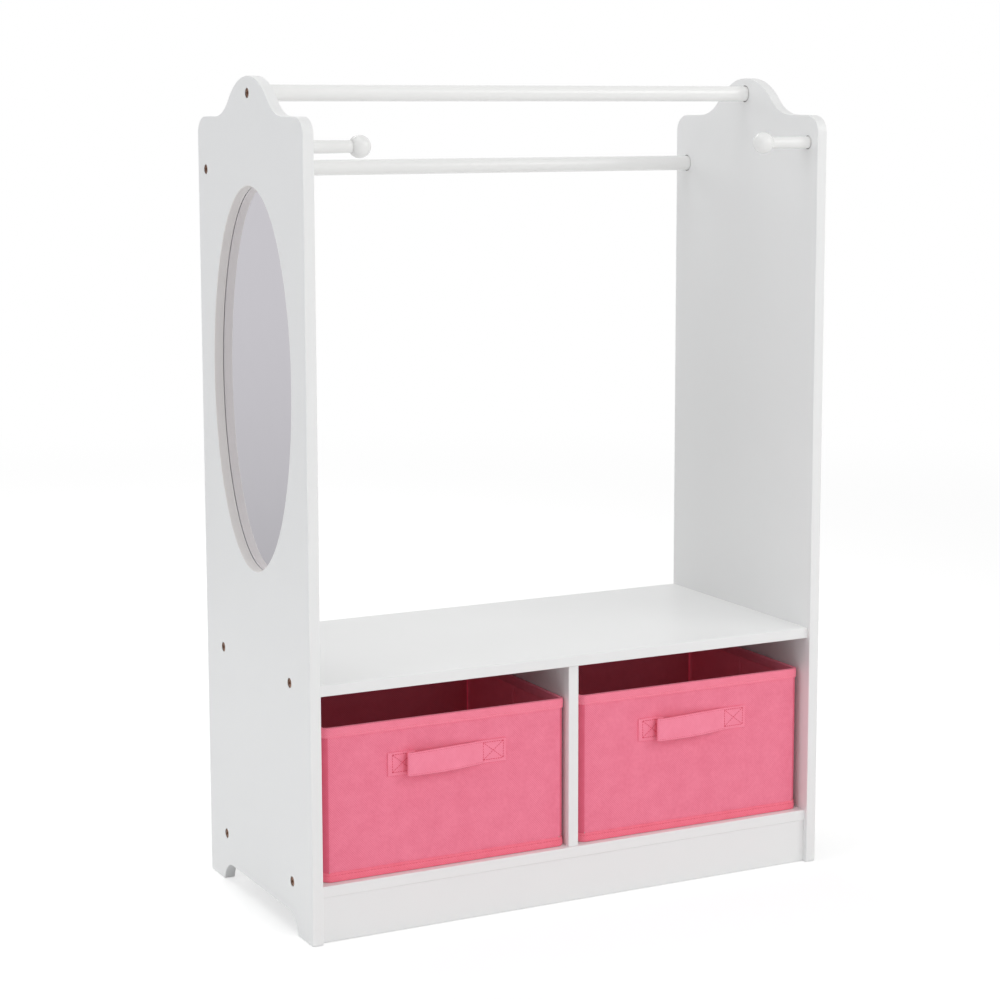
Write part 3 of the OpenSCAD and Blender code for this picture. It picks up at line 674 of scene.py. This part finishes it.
def pan_heads():
    """Eight pan-head screws on the backing board: a dome over each shank, with a crossed recess
    that is deep where either arm passes and dies out towards the rim."""
    count, steps, radius, height, backing = 8, 40, 3.25 * mm, 2.0 * mm, 3 * mm
    arm_half, arm_depth, arm_reach, arm_fade = 0.45 * mm, 1.1 * mm, 0.68, 0.12
    screw_length, screw_radius, beyond_sheet = 10.5 * mm, 1.5 * mm, 8 * mm
    turn = full_turn(steps)
    share = np.linspace(0, 1, 15)[:, None]
    y, z = radius * share * np.cos(turn), radius * share * np.sin(turn)
    arm = np.minimum(np.abs(y), np.abs(z)) < arm_half
    recess = arm_depth * arm * np.clip((arm_reach - share) / arm_fade, 0, 1)
    dome = height * np.sqrt(np.clip(1 - share ** 2.6, 0, 1)) - recess
    face = backing - inner
    head = np.stack([face + dome, y, z], -1)
    along = np.array([[0.0], [screw_length]])
    shank = np.stack(np.broadcast_arrays(face - along, screw_radius * np.cos(turn),
                                         screw_radius * np.sin(turn)), -1)
    one = np.concatenate([head, shank, shank[-1:] * [1, 0, 0]]).reshape(-1, 3)
    angle = 2 * np.pi * (np.arange(count) + 0.5) / count
    ring = window_axes + sheet_lap + beyond_sheet
    spots = np.stack([0 * angle, mirror_centre[0] + ring[0] * np.cos(angle),
                      mirror_centre[1] + ring[1] * np.sin(angle)], -1)
    return copies(one, band(len(one) // steps, steps), spots)


points, faces = pan_heads()
fit(piece("mirror_screws_zinc", points, faces, zinc), "cabinet", "zinc_steel", "mirror_screws")


# ---- Fabric bins ----
# Each bin is sewn from pink non-woven fabric over cards: an outer cloth over walls and floor, a
# lining, a folded hem over the rim, a bound lower edge and a loose base board. Between the cards'
# ends the cloth runs straight across each upright corner.

def cloth(name, colour, deep, pitch=2.95 * mm, dimples=0.7, fuzz=0.5, glow=None):
    """Spun-bonded cloth: small pressed dimples set on the diagonal, fine fibres, a cloudy tone."""
    material, nodes, shader, _ = finish(name, colour, 0.85)
    place = nodes.add("UVMap", {"uv_map": "cloth"})
    parts = nodes.add("SeparateXYZ", sockets={0: place})
    across, along = parts, Wire(nodes, parts.socket.node.outputs[1])
    turn = 2 * np.pi / pitch
    pressed = ((across * turn).sine() * (along * turn).sine()).at_least(0.0) ** 0.7
    fibres, clouds, blotches = (noise(nodes, place, 1500, 4), noise(nodes, place, 40, 3),
                                noise(nodes, place, 190, 3))
    share = pressed * 0.62 + clouds * 0.7 + blotches * 0.45 + fibres * 0.5 - 0.6
    link(nodes, shader, Base_Color=blended(nodes, share, colour, deep),
         Roughness=fibres * 0.15 + 0.78,
         Normal=bumped(nodes, (1 - pressed) * dimples + fibres * fuzz, 0.09 * mm))
    shader.inputs["Sheen Weight"].default_value = 0.12
    shader.inputs["Sheen Roughness"].default_value = 0.5
    if glow:
        shader.inputs["Emission Color"].default_value = (*glow, 1)
        shader.inputs["Emission Strength"].default_value = 1.0
    return material


def sewing_thread(name, colour, dark):
    """A twisted thread: the fine turns of its plies in tone and bump."""
    return speckled(name, colour, dark, 0.6, 0.2, 2400, 2, 0.05 * mm)


wall_cloth = cloth("pink_cloth", (0.965, 0.252, 0.367), (0.79, 0.14, 0.23))
hem_cloth = cloth("pink_hem", (1.0, 0.262, 0.375), (0.87, 0.17, 0.255))
tape_cloth = cloth("pink_tape", (1.0, 0.285, 0.41), (0.88, 0.19, 0.285))
binding_cloth = cloth("pink_binding", (0.98, 0.215, 0.31), (0.86, 0.13, 0.20))
# The lining is painted a darker, deeper pink than the outer cloth: painted shade of the bin's inside.
shaded_lining_cloth = cloth("pink_lining", (0.78, 0.138, 0.205), (0.64, 0.09, 0.14))
# In the corners no card backs the cloth. The outer cloth's bends there are a deeper, darker pink: painted
# shade. A narrow strip in the lining's corners glows, and the lining's side walls are lighter with a
# fainter glow: painted light.
# The bends of the outer cloth: painted shade.
bend_shade_cloth = cloth("pink_cloth_bend_painted_shade", (0.84, 0.15, 0.25), (0.72, 0.10, 0.165))
# The lining's side walls: lighter, with a faint glow, as painted light.
side_light_cloth = cloth("pink_lining_side_painted_light", (1.0, 0.22, 0.32), (0.86, 0.155, 0.235),
                   glow=(0.024, 0.003, 0.005))
# The strip in the lining's corners: a glow, as painted light.
corner_glow_cloth = cloth("pink_lining_corner_painted_glow", (0.90, 0.17, 0.26), (0.80, 0.12, 0.20),
                     glow=(0.12, 0.003, 0.010))
# The deep thread and the strap's thread are darker than their cloth: painted shade where the stitches sink
# in.
shade_deep_thread = sewing_thread("deep_pink_thread", (0.80, 0.09, 0.16), (0.66, 0.06, 0.115))
shade_tape_thread = sewing_thread("pink_thread", (0.82, 0.13, 0.21), (0.72, 0.095, 0.165))
pale_thread = sewing_thread("pale_pink_thread", (1.0, 0.33, 0.43), (0.92, 0.26, 0.36))
card = speckled("grey_card", (0.58, 0.54, 0.48), (0.38, 0.35, 0.31), 0.8, 0.15, 800, 5, 0.08 * mm)

cover_low, cover_high = (np.array(v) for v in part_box("right_bin_cover"))
bin_width, bin_depth, _ = cover_high - cover_low
bin_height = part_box("right_bin_rim_tape")[1][2] - cover_low[2]
cloth_top = bin_height - 0.8 * mm
outer_cut, inner_cut, bend_share = 7.0 * mm, 4.8 * mm, 0.42
front_steps = np.linspace(0, 1, 53)
side_steps = np.concatenate([np.linspace(0, 0.485, 20), [0.4925, 0.4955, 0.4977, 0.5, 0.5023, 0.5045,
                                                         0.5075], np.linspace(0.515, 1, 20)])


def way_along(path):
    """The length of a path up to each of its points."""
    return np.concatenate([[0], np.cumsum(np.linalg.norm(np.diff(path, axis=0), axis=1))])


def bin_plan(by, corner=outer_cut):
    """The bin's closed plan, drawn in by an amount: a rectangle whose corners are cut straight
    across, with a soft bend at each end of the cut."""
    half, cut = bin_width / 2, corner + by * (np.sqrt(2) - 1)
    w, d = half - by, bin_depth - by
    spots = np.array([[half - cut, d], [-half + cut, d], [-w, bin_depth - cut], [-w, cut],
                      [-half + cut, by], [half - cut, by], [w, cut], [w, bin_depth - cut]])
    ways = unit(np.roll(spots, -1, 0) - spots)
    soft = bend_share * np.sqrt(2) * (cut - by)
    bend_steps = np.linspace(0, 1, 9)[1:-1, None]
    path = []
    for n, steps in enumerate([front_steps, np.linspace(0, 1, 3), side_steps, np.linspace(0, 1, 3)] * 2):
        spot, following = spots[(n + 1) % 8], ways[(n + 1) % 8]
        start, end, after = spots[n] + ways[n] * soft, spot - ways[n] * soft, spot + following * soft
        path.append(start + (end - start) * steps[:, None])
        path.append((1 - bend_steps) ** 2 * end + 2 * bend_steps * (1 - bend_steps) * spot
                    + bend_steps ** 2 * after)
    return np.concatenate(path + [path[0][:1]])


plan = bin_plan(0.0)
plan_way = way_along(plan)
plan_ahead = unit(np.roll(plan[:-1], -1, 0) - np.roll(plan[:-1], 1, 0))
plan_out = np.stack([plan_ahead[:, 1], -plan_ahead[:, 0]], 1)
plan_out = np.concatenate([plan_out, plan_out[:1]])


def ripple(a, b, seed, length, size):
    """A smooth uneven surface: six sine waves of about one length, each with its own way and phase."""
    chance = np.random.RandomState(seed)
    waves = 2 * np.pi / (length * chance.uniform(0.7, 1.6, 6))
    ways, phases = chance.uniform(0, np.pi, 6), chance.uniform(0, 2 * np.pi, 6)
    total = sum(np.sin(w * (a * np.cos(k) + b * np.sin(k)) + p) for w, k, p in zip(waves, ways, phases))
    return size * total / 6


def wall_swell(x, y, z, seed):
    """How far the cloth stands off its card: a slight crown over each wall, a few soft ripples, and
    a fine crease where the side walls' cards part at the fold."""
    crown_height, fold_depth, fold_width = 0.5 * mm, 1.5 * mm, 0.9 * mm
    share_x = np.clip(np.abs(x) / (bin_width / 2 - outer_cut), 0, 1)
    share_y = np.clip(np.abs(y - bin_depth / 2) / (bin_depth / 2 - outer_cut), 0, 1)
    on_side = np.abs(x) > bin_width / 2 - 1 * mm
    across = np.where(on_side, 1 - share_y ** 4, 1 - share_x ** 4)
    height = np.clip(z / bin_height, 0, 1)
    crown = crown_height * across * np.sin(np.pi * height) ** 0.8
    soft = np.abs(ripple(x + 3 * y, z, seed, 0.16, 0.7 * mm) + ripple(x - y, z, seed + 7, 0.05, 0.16 * mm))
    fold = on_side * fold_depth * np.exp(-((y - bin_depth / 2) / fold_width) ** 2)
    return crown + soft * across * np.sin(np.pi * height) - fold


def carried(profile, seed, corners=(outer_cut, outer_cut), closed=False, wave=0.0):
    """A profile of (inset, height, swell share) rows carried round the bin's plan. Each point moves
    out along the wall's own direction by the cloth's swell. UV: the way along the wall, and up it."""
    before_cards, behind_cards, wave_length = 1 * mm, 3.6 * mm, 0.02
    rows, lengths = [], [0.0]
    for (by, z, share), (by_2, z_2, _) in zip(profile, profile[1:] + profile[:1]):
        path = bin_plan(by, np.interp(by, [before_cards, behind_cards], corners))
        lift = share * (wall_swell(plan[:, 0], plan[:, 1], z, seed)
                        + wave * ripple(plan_way, z * 0, seed + 3, wave_length, 1.0))
        rows.append(np.c_[path + plan_out * lift[:, None], np.full(len(path), z)])
        lengths.append(lengths[-1] + np.hypot(by_2 - by, z_2 - z))
    points = np.array(rows)
    uv = np.stack(np.broadcast_arrays(plan_way[None], np.array(lengths[:-1])[:, None]), -1)
    count = points.shape[1]
    faces = band(len(profile), count, closed=False)
    if closed:
        last = (len(profile) - 1) * count
        faces += [[last + i, last + i + 1, i + 1, i] for i in range(count - 1)]
    return points.reshape(-1, 3), faces, uv.reshape(-1, 2), count


def capped(points, faces, uv, count, *rows):
    """Closes rows of the walls with flat floors of cloth, mapped as they lie."""
    for row in rows:
        ring = points[row * count:(row + 1) * count - 1]
        first = len(points)
        faces = faces + [[first + i for i in f] for f in
                         tessellate_polygon([[Vector((*p[:2], 0)) for p in ring]])]
        points, uv = np.concatenate([points, ring]), np.concatenate([uv, ring[:, :2]])
    return points, faces, uv


def stitches(centres, ways, outs, length, thick):
    """One small rounded thread at each centre: a six-sided spindle along its way, half sunk."""
    rings, sides = 6, 6
    along = np.linspace(-1, 1, rings)
    radius = thick / 2 * np.sqrt(np.clip(1 - along ** 4, 0.02, 1))
    turn = full_turn(sides)
    over = np.cross(ways, outs)
    ring = (outs[:, None, None] * (radius[:, None] * np.cos(turn))[None, ..., None]
            + over[:, None, None] * (radius[:, None] * np.sin(turn))[None, ..., None])
    points = centres[:, None, None] + ways[:, None, None] * (along * length / 2)[None, :, None, None] + ring
    size = rings * sides
    one = band(rings, sides) + [list(range(sides - 1, -1, -1)), list(range(size - sides, size))]
    faces = [[i + n * size for i in f] for n in range(len(centres)) for f in one]
    return points.reshape(-1, 3), faces


def seam(path, outs, pitch):
    """Evenly spaced places along a path, with its direction and the cloth's outward direction there."""
    way, step = way_along(path), 0.3 * mm
    at = np.arange(pitch / 2, way[-1], pitch)
    spots, nearby, facing = (np.stack([np.interp(where, way, values[:, k]) for k in range(3)], 1)
                             for where, values in ((at, path), (at + step, path), (at, outs)))
    return spots, unit(nearby - spots), unit(facing)


def sewn(name, lines, length, thick, material, body):
    """All the stitches of some seams as one piece on the body."""
    centres, ways, outs = (np.concatenate([line[k] for line in lines]) for k in range(3))
    points, faces = stitches(centres, ways, outs, length, thick)
    threads = piece(name, points + bin_place, faces, material, even=False, crease=60)
    fit(threads, body, "pink_fabric")
    return threads


# The strap's middle line in plan, as (along the bin's front, out from it): sewn down, up into the
# fold, back over its own left-hand end, and across to the other sewn end.
strap_width, strap_thick = 29 * mm, 1.6 * mm
strap_height = bin_height - 54.2 * mm
strap_line = np.array([(-80, 0.8), (-71, 0.8), (-62, 0.8), (-54, 0.9), (-49, 1.3), (-46.5, 2.4),
                       (-45.7, 4.0), (-47.2, 5.6), (-51, 6.8), (-55, 8.2), (-57, 9.8), (-57, 11.2),
                       (-54.8, 12.2), (-48, 12.4), (-36, 12.0), (-20, 10.9), (-5, 9.4), (10, 7.6),
                       (24, 5.5), (36, 3.4), (43, 2.1), (48.5, 1.2), (55, 0.9), (65, 0.8), (80, 0.8)]) * mm
loop_twist, box_seam_drop, box_seam_rise, box_seam_end = 2.3 * mm, 10.2 * mm, 11.7 * mm, -50.5 * mm
run_start, run_length = -54 * mm, 100 * mm
# Points of the smoothed line: where the loop's front run starts, its seams, and the two sewn ends.
turn_back, loop_seam, left_end, right_end = 60, slice(58, 108), slice(0, 24), slice(-30, None)


def smooth(points, per=5):
    """A Catmull-Rom curve: between two points, the cubic whose slopes join their neighbours."""
    p = np.concatenate([[2 * points[0] - points[1]], points, [2 * points[-1] - points[-2]]])
    t = np.linspace(0, 1, per, endpoint=False)[:, None, None]
    a, b, c, d = p[:-3], p[1:-2], p[2:-1], p[3:]
    curve = 0.5 * (2 * b + (c - a) * t + (2 * a - 5 * b + 4 * c - d) * t ** 2
                   + (3 * b - a - 3 * c + d) * t ** 3)
    return np.concatenate([curve.transpose(1, 0, 2).reshape(-1, points.shape[1]), points[-1:]])


strap_path = smooth(strap_line)
strap_way = way_along(strap_path)
front_run = (np.clip((strap_path[:, 0] - run_start) / run_length, 0, 1)
             * (np.arange(len(strap_path)) > turn_back))


def strap_surface(across_share, seed, lift):
    """The strap at a share of its width, lifted off its middle line: the front run of the loop
    twists a little, so that its lower edge hangs further out. Returns points and outward ways."""
    ahead = unit(np.gradient(strap_path, axis=0))
    out = np.stack([-ahead[:, 1], ahead[:, 0]], 1)
    off = strap_path + out * lift
    off[:, 1] -= across_share * loop_twist * np.sin(np.pi * front_run)
    base = wall_swell(off[:, 0], 0 * off[:, 0], strap_height, seed)
    z = np.full(len(off), strap_height + across_share * strap_width / 2)
    return np.stack([off[:, 0], -off[:, 1] - base, z], 1), np.stack([out[:, 0], -out[:, 1], 0 * z], 1)


def recolour(thing, chosen):
    """Gives a wall's faces more materials. chosen pairs each with a test of the face's direction:
    its share along X, its share along Y, and whether it looks into the bin."""
    middles, facing = np.empty((2, 3 * len(thing.data.polygons)))
    thing.data.polygons.foreach_get("center", middles)
    thing.data.polygons.foreach_get("normal", facing)
    middles, facing = middles.reshape(-1, 3)[:, :2], facing.reshape(-1, 3)[:, :2]
    inwards = ((middles - bin_place[:2] - [0, bin_depth / 2]) * facing).sum(1) < 0
    index = np.zeros(len(middles), int)
    for material, test in chosen:
        thing.data.materials.append(material)
        index[test(*np.abs(facing).T, inwards)] = len(thing.data.materials) - 1
    thing.data.polygons.foreach_set("material_index", index)


for body, seed in (("left_bin", 11), ("right_bin", 42)):
    low, high = (np.array(v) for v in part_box(body + "_cover"))
    bin_place = np.array([(low[0] + high[0]) / 2, low[1], low[2]])
    cards = [body + "_" + part for part in ("front_board", "back_board", "side_board_1",
                                            "side_board_2", "side_board_3", "side_board_4")]
    for name in cards:
        dress(name, card)

    # The outer cloth: out from the base, up the walls, over the cards' edge and down behind itself.
    heights = np.concatenate([[3, 6, 9, 10.6, 11.4, 12.4, 14], np.linspace(18, 174, 28),
                              [176.4, 177.6, 179, 183, 188.4]]) * mm
    pinch = 0.7 * mm * np.exp(-((heights - 11.6 * mm) / (1.4 * mm)) ** 2)
    profile = ([(7 * mm, 0.0, 0), (2.6 * mm, 0.1 * mm, 0), (0.8 * mm, 0.8 * mm, 0.2)]
               + [(by, z, 1) for by, z in zip(pinch, heights)] + [(0.1 * mm, cloth_top, 0)]
               + [(0.9 * mm, z, 0) for z in (cloth_top, 0.5 * cloth_top, 1.0 * mm)])
    points, faces, uv, count = carried(profile, seed)
    points, faces, uv = capped(points, faces, uv, count, 0, len(profile) - 1)
    cover = piece(body + "_outer_cloth", points + bin_place, faces, wall_cloth, uv=uv, even=False)
    fit(cover, body, "pink_fabric", body + "_cover")
    # The bends of the outer cloth take the painted shade.
    recolour(cover, [(bend_shade_cloth, lambda x, y, inwards: ~inwards & (np.minimum(x, y) > 0.38))])

    # The lining hangs inside the cards and lies on the outer cloth's floor.
    depths = np.linspace(3, 180, 24) * mm
    profile = ([(3.05 * mm, z, 0) for z in (1.1 * mm, 0.5 * cloth_top, cloth_top)]
               + [(3.8 * mm, cloth_top, 0)] + [(3.8 * mm, z, -0.6) for z in depths[::-1]]
               + [(4.6 * mm, 1.9 * mm, 0)])
    points, faces, uv, count = carried(profile, seed + 1, (inner_cut, inner_cut))
    points, faces, uv = capped(points, faces, uv, count, 0, len(profile) - 1)
    lining = piece(body + "_inner_cloth", points + bin_place, faces, shaded_lining_cloth, uv=uv, even=False)
    fit(lining, body, "pink_lining", body + "_lining")
    # The lining's side walls and corner strips take the painted light.
    recolour(lining, [(side_light_cloth, lambda x, y, inwards: inwards & (x > 0.7)),
                      (corner_glow_cloth, lambda x, y, inwards: inwards & (x > 0.3) & (x < 0.62) & (y > 0.5))])

    # The hem: a tape folded over the rim, sewn through near its lower edge, which puckers a little.
    profile = [(0.0, -12.0, 1), (-0.75, -12.3, 1), (-1.2, -12.1, 1), (-1.35, -11.4, 1),
               (-1.2, -10.5, 1), (-0.85, -9.8, 1), (-1.2, -9.1, 1), (-1.4, -7, 1), (-1.4, -4.5, 1),
               (-1.25, -2, 1), (-0.8, -0.7, 0.8), (0.2, -0.1, 0.6), (1.9, 0.1, 0.3), (3.6, -0.1, 0),
               (4.4, -0.7, 0), (4.75, -2, 0), (4.75, -7, 0), (4.7, -11.4, 0), (4.3, -12.0, 0),
               (3.85, -11.7, 0), (3.85, -0.75, 0), (0.0, -0.75, 0)]
    profile = [(by * mm, bin_height + z * mm, share) for by, z, share in profile]
    points, faces, uv, count = carried(profile, seed, (outer_cut, inner_cut), closed=True, wave=0.36 * mm)
    hem = piece(body + "_hem", points + bin_place, faces, hem_cloth, uv=uv, even=False)
    fit(hem, body, "pink_fabric", body + "_rim_tape")

    # The binding: a tape sewn over the seam between walls and floor, a soft ridge round the bottom.
    profile = [(6.5, 0.05, 0), (1.0, -0.05, 0), (-0.4, 0.1, 0.3), (-0.9, 0.6, 0.6), (-1.05, 2.6, 1),
               (-1.0, 5.4, 1), (-0.8, 7.0, 1), (-0.35, 7.8, 1), (-0.3, 8.3, 1), (-0.5, 9.0, 1),
               (-0.5, 10.3, 1), (-0.15, 11.0, 1), (0.75, 11.1, 1), (0.4, 4, 1), (2.2, 0.6, 0.2),
               (6.5, 0.35, 0)]
    profile = [(by * mm, z * mm, share) for by, z, share in profile]
    points, faces, uv, count = carried(profile, seed, closed=True, wave=0.16 * mm)
    binding = piece(body + "_binding", points + bin_place, faces, binding_cloth, uv=uv, even=False)
    fit(binding, body, "pink_fabric")

    # The loose base board, covered in the lining's cloth.
    outline = bin_plan(5 * mm, inner_cut)[:-1]
    low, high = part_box(body + "_base_board")
    ease = 1.2 * mm
    points, faces = plate(outline, quarter(low[2], ease) + quarter(high[2], ease, -1)[::-1])
    points = points + [bin_place[0], bin_place[1], 0]
    pad = piece(body + "_base_pad", points, faces, shaded_lining_cloth, uv=points[:, :2])
    fit(pad, body, "pink_lining", body + "_base_board")

    # The strap: one length of doubled tape. Its cross-section, a flat rounded bar with a thin rolled
    # edge on both sides, is carried along the middle line.
    edge = np.cos(np.linspace(0, np.pi / 2, 4)) * 0.04 + 0.96
    half = np.concatenate([edge, [0.93, 0.87, 0.8, 0.5]])
    across = np.concatenate([half, [0], -half[::-1]])
    rise_t = np.interp(np.abs(across), [0, 0.8, 0.87, 0.93, 0.96, 0.985, 1.0],
                       [1, 0.95, 0.72, 1.0, 0.98, 0.7, 0.0]) * strap_thick / 2
    ring_w = np.concatenate([across, across[::-1]])
    ring_t = np.concatenate([rise_t, -rise_t[::-1]])
    rows = [strap_surface(w, seed, t)[0] for w, t in zip(ring_w, ring_t)]
    grid = np.array(rows).transpose(1, 0, 2)
    steps, count = grid.shape[:2]
    faces = band(steps, count) + [list(range(count)), list(range((steps - 1) * count, steps * count))]
    uv = np.stack(np.broadcast_arrays(strap_way[:, None], (ring_w * strap_width / 2)[None]), -1)
    strap = piece(body + "_strap", grid.reshape(-1, 3) + bin_place, faces, tape_cloth,
                  uv=uv.reshape(-1, 2), even=False)
    fit(strap, body, "pink_fabric", body + "_handle")

    # The seams: pale thread round the hem; deep thread in the binding's groove, and on the strap a
    # crossed box at each end and a line inside each edge of the loop.
    out_3d = np.c_[plan_out, 0 * plan_way]
    lines = {}
    for name, z, by in (("hem", bin_height - 9.8 * mm, -0.85 * mm), ("binding", 8.1 * mm, -0.3 * mm)):
        path = bin_plan(by) + plan_out * wall_swell(plan[:, 0], plan[:, 1], z, seed)[:, None]
        lines[name] = seam(np.c_[path, np.full(len(path), z)], out_3d, 4.3 * mm)
    hem_seam = sewn(body + "_hem_stitches", [lines["hem"]], 3.0 * mm, 0.7 * mm, pale_thread, body)
    binding_seam = sewn(body + "_binding_stitches", [lines["binding"]], 3.4 * mm, 0.5 * mm,
                        shade_deep_thread, body)

    box_lines, edge_lines = [], []
    for x_0, x_1 in ((-74.1, -47.6), (48.6, 76.3)):
        low_z, high_z = strap_height - box_seam_drop, strap_height + box_seam_rise
        box = np.array([(x_0 * mm, low_z), (x_1 * mm, low_z), (x_1 * mm, high_z), (x_0 * mm, high_z)])
        for a, b in ((0, 1), (1, 2), (2, 3), (3, 0), (0, 2), (1, 3)):
            flat = box[a] + (box[b] - box[a]) * np.linspace(0, 1, 30)[:, None]
            flat_run = strap_path[left_end if x_0 < 0 else right_end]
            rise_off = np.interp(flat[:, 0], flat_run[:, 0], flat_run[:, 1])
            base = wall_swell(flat[:, 0], 0 * flat[:, 0], strap_height, seed)
            path = np.c_[flat[:, 0], -base - rise_off - strap_thick / 2, flat[:, 1]]
            keep = flat[:, 0] < box_seam_end if x_0 < 0 else flat[:, 0] > 0
            if keep.sum() > 3:
                box_lines.append(seam(path[keep], np.tile([0.0, -1.0, 0.0], (keep.sum(), 1)), 3.3 * mm))
    for share in (0.86, -0.86):
        path, outs = strap_surface(share, seed, strap_thick * 0.36)
        edge_lines.append(seam(path[loop_seam], outs[loop_seam], 3.6 * mm))
    box_seam = sewn(body + "_strap_boxes", box_lines, 2.7 * mm, 0.8 * mm, shade_deep_thread, body)
    edge_seam = sewn(body + "_strap_edges", edge_lines, 2.8 * mm, 0.5 * mm, shade_tape_thread, body)

    # Cut sizes: outer cloth and lining are crosses, a floor with a flap for each wall.
    for sheet, inset_by, floor_z, extras in ((cover, 0.0, 0.0, [hem, binding, hem_seam, binding_seam]),
                                             (lining, 3.8 * mm, 1.8 * mm, [])):
        w, d, h = bin_width - 2 * inset_by, bin_depth - 2 * inset_by, cloth_top - floor_z
        w + 2 * h
        d + 2 * h
        w * d + 2 * h * (w + d)
